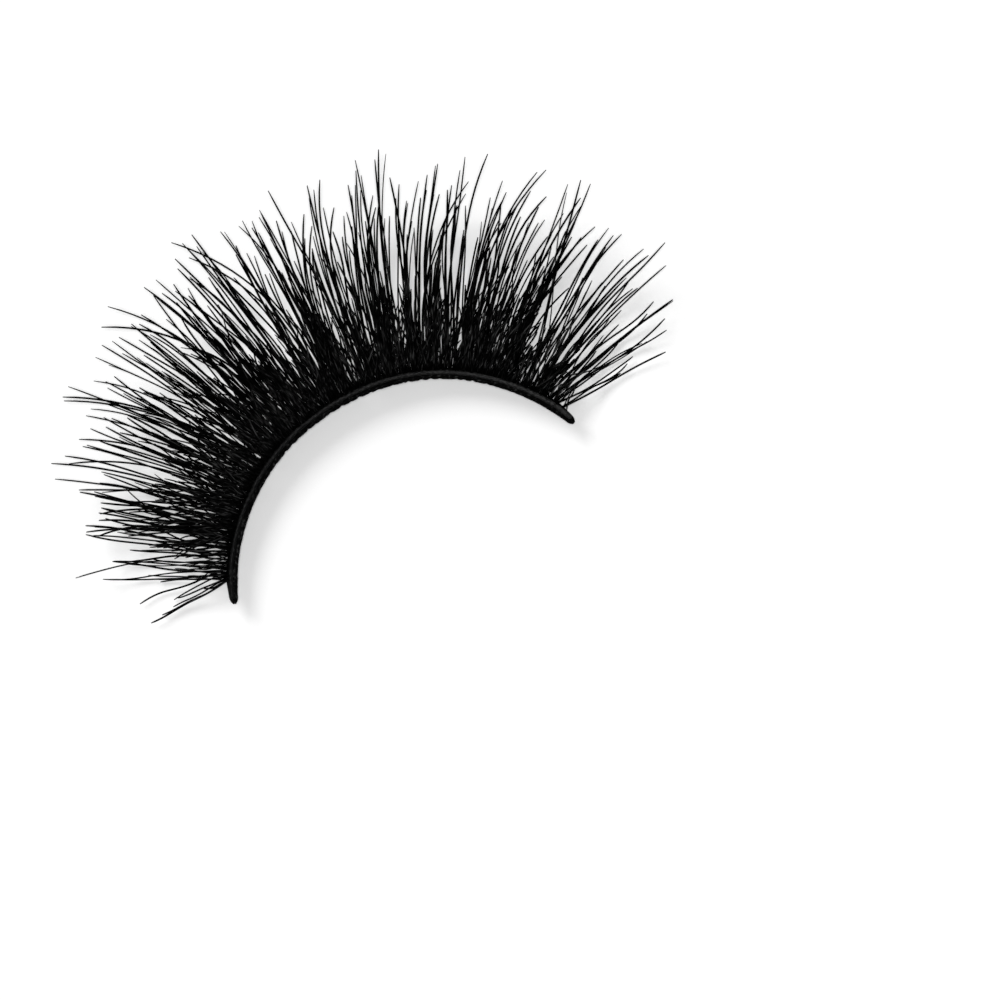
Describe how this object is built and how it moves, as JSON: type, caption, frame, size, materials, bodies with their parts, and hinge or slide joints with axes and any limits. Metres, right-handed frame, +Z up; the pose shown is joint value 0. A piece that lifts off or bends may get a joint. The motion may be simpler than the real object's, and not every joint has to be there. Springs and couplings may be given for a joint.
{
  "type": "false eyelash strip",
  "caption": "Curved band with a fringe of long curled black lashes over shorter ones, glued along the upper eyelid and worn to lengthen the lashes.",
  "frame": {"origin": "on the surface that the strip lies on, under the middle of its outline", "axes": "+X along the strip's width, towards the end that is at the right in the picture; +Y from the hollow of the band towards the tips of the lashes; +Z up, the way the tips curl"},
  "size_m": [0.0452, 0.0234, 0.0065],
  "materials": {
    "band": "matte black knotted cotton set in glue",
    "band_thread": "smooth black thread with a faint sheen",
    "long_lashes": "black synthetic hair with a soft sheen",
    "short_lashes": "black synthetic hair with a soft sheen"
  },
  "bodies": {
    "root": {"band": "band", "band_thread": "band_thread", "long_lashes": "long_lashes", "short_lashes": "short_lashes"}
  },
  "joints": []
}
